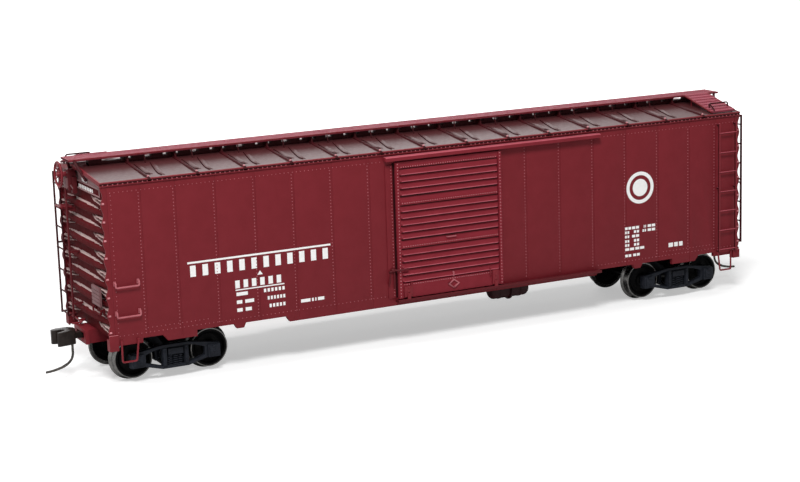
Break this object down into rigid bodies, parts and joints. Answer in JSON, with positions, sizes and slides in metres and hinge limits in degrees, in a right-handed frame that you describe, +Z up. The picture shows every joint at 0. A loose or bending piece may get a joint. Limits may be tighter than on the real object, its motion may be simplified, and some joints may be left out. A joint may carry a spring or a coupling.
{
  "type": "scale model boxcar",
  "caption": "1:87 scale model of a steel freight boxcar with sliding doors, ribbed ends, roof walk, ladders, swivelling trucks, rolling wheelsets and swinging couplers.",
  "frame": {"origin": "middle of the car at the level the wheel flanges stand on", "axes": "+X along the car to its plain end, -X to its brake end, +Y to its far side, +Z up"},
  "size_m": [0.201, 0.0364, 0.053],
  "materials": {
    "body_paint": "satin dark red",
    "roof_paint": "matt brownish red",
    "board_paint": "satin red",
    "underframe_paint": "matt near black",
    "truck_plastic": "satin black",
    "wheel_metal": "blackened wheel with bright tread",
    "coupler_metal": "dark brown metal",
    "ballast_steel": "plain steel",
    "marking_white": "flat white marking"
  },
  "bodies": {
    "car": {"air_reservoir": "underframe_paint", "ballast": "ballast_steel", "brake_cylinder": "underframe_paint", "brake_housing": "body_paint", "brake_levers": "underframe_paint", "brake_platform": "body_paint", "brake_rod": "body_paint", "brake_wheel": "body_paint", "centre_sill": "underframe_paint", "control_valve": "underframe_paint", "draft_box_brake": "body_paint", "draft_box_plain": "body_paint", "end_brake": "body_paint", "end_grab_brake": "body_paint", "end_grab_plain": "body_paint", "end_ladder_brake": "body_paint", "end_ladder_plain": "body_paint", "end_plain": "body_paint", "floor": "underframe_paint", "grab_far_lower": "body_paint", "grab_far_upper": "body_paint", "grab_near_lower": "body_paint", "grab_near_upper": "body_paint", "lateral_far": "board_paint", "lateral_near": "board_paint", "lower_track_far": "body_paint", "lower_track_near": "body_paint", "roof": "roof_paint", "running_board": "board_paint", "side_far": "body_paint", "side_ladder_far": "body_paint", "side_ladder_near": "body_paint", "side_near": "body_paint", "step_brake_far": "body_paint", "step_brake_near": "body_paint", "step_plain_far": "body_paint", "step_plain_near": "body_paint", "tack_board_brake": "body_paint", "tack_board_plain": "body_paint", "uncoupling_lever_brake": "body_paint", "uncoupling_lever_plain": "body_paint", "upper_track_far": "body_paint", "upper_track_near": "body_paint"},
    "door_near": {"door_near": "body_paint"},
    "door_far": {"door_far": "body_paint"},
    "coupler_brake": {"coupler_brake": "coupler_metal"},
    "truck_brake": {"bolster_brake": "truck_plastic", "side_frame_brake_near": "truck_plastic", "side_frame_brake_far": "truck_plastic"},
    "wheelset_brake_outer": {"wheelset_brake_outer": "wheel_metal"},
    "wheelset_brake_inner": {"wheelset_brake_inner": "wheel_metal"},
    "coupler_plain": {"coupler_plain": "coupler_metal"},
    "truck_plain": {"bolster_plain": "truck_plastic", "side_frame_plain_near": "truck_plastic", "side_frame_plain_far": "truck_plastic"},
    "wheelset_plain_outer": {"wheelset_plain_outer": "wheel_metal"},
    "wheelset_plain_inner": {"wheelset_plain_inner": "wheel_metal"}
  },
  "joints": [
    {"name": "truck_brake_swivel", "type": "hinge", "parent": "car", "child": "truck_brake", "pos_m": [-0.0723, 0, 0.0098], "axis": [0, 0, 1], "range_deg": [-10, 10]},
    {"name": "wheelset_brake_outer_spin", "type": "hinge", "parent": "truck_brake", "child": "wheelset_brake_outer", "pos_m": [-0.08192, 0, 0.00545], "axis": [0, 1, 0], "continuous": true},
    {"name": "wheelset_brake_inner_spin", "type": "hinge", "parent": "truck_brake", "child": "wheelset_brake_inner", "pos_m": [-0.06267, 0, 0.00545], "axis": [0, 1, 0], "continuous": true},
    {"name": "coupler_brake_swing", "type": "hinge", "parent": "car", "child": "coupler_brake", "pos_m": [-0.0853, 0, 0.0107], "axis": [0, 0, 1], "range_deg": [-10, 10], "stiffness_Nm_per_rad": 0.001},
    {"name": "truck_plain_swivel", "type": "hinge", "parent": "car", "child": "truck_plain", "pos_m": [0.0723, 0, 0.0098], "axis": [0, 0, 1], "range_deg": [-10, 10]},
    {"name": "wheelset_plain_outer_spin", "type": "hinge", "parent": "truck_plain", "child": "wheelset_plain_outer", "pos_m": [0.08192, 0, 0.00545], "axis": [0, 1, 0], "continuous": true},
    {"name": "wheelset_plain_inner_spin", "type": "hinge", "parent": "truck_plain", "child": "wheelset_plain_inner", "pos_m": [0.06267, 0, 0.00545], "axis": [0, 1, 0], "continuous": true},
    {"name": "coupler_plain_swing", "type": "hinge", "parent": "car", "child": "coupler_plain", "pos_m": [0.0853, 0, 0.0107], "axis": [0, 0, 1], "range_deg": [-10, 10], "stiffness_Nm_per_rad": 0.001},
    {"name": "door_near_slide", "type": "slide", "parent": "car", "child": "door_near", "axis": [1, 0, 0], "range_m": [0, 0.029]},
    {"name": "door_far_slide", "type": "slide", "parent": "car", "child": "door_far", "axis": [-1, 0, 0], "range_m": [0, 0.029]}
  ]
}
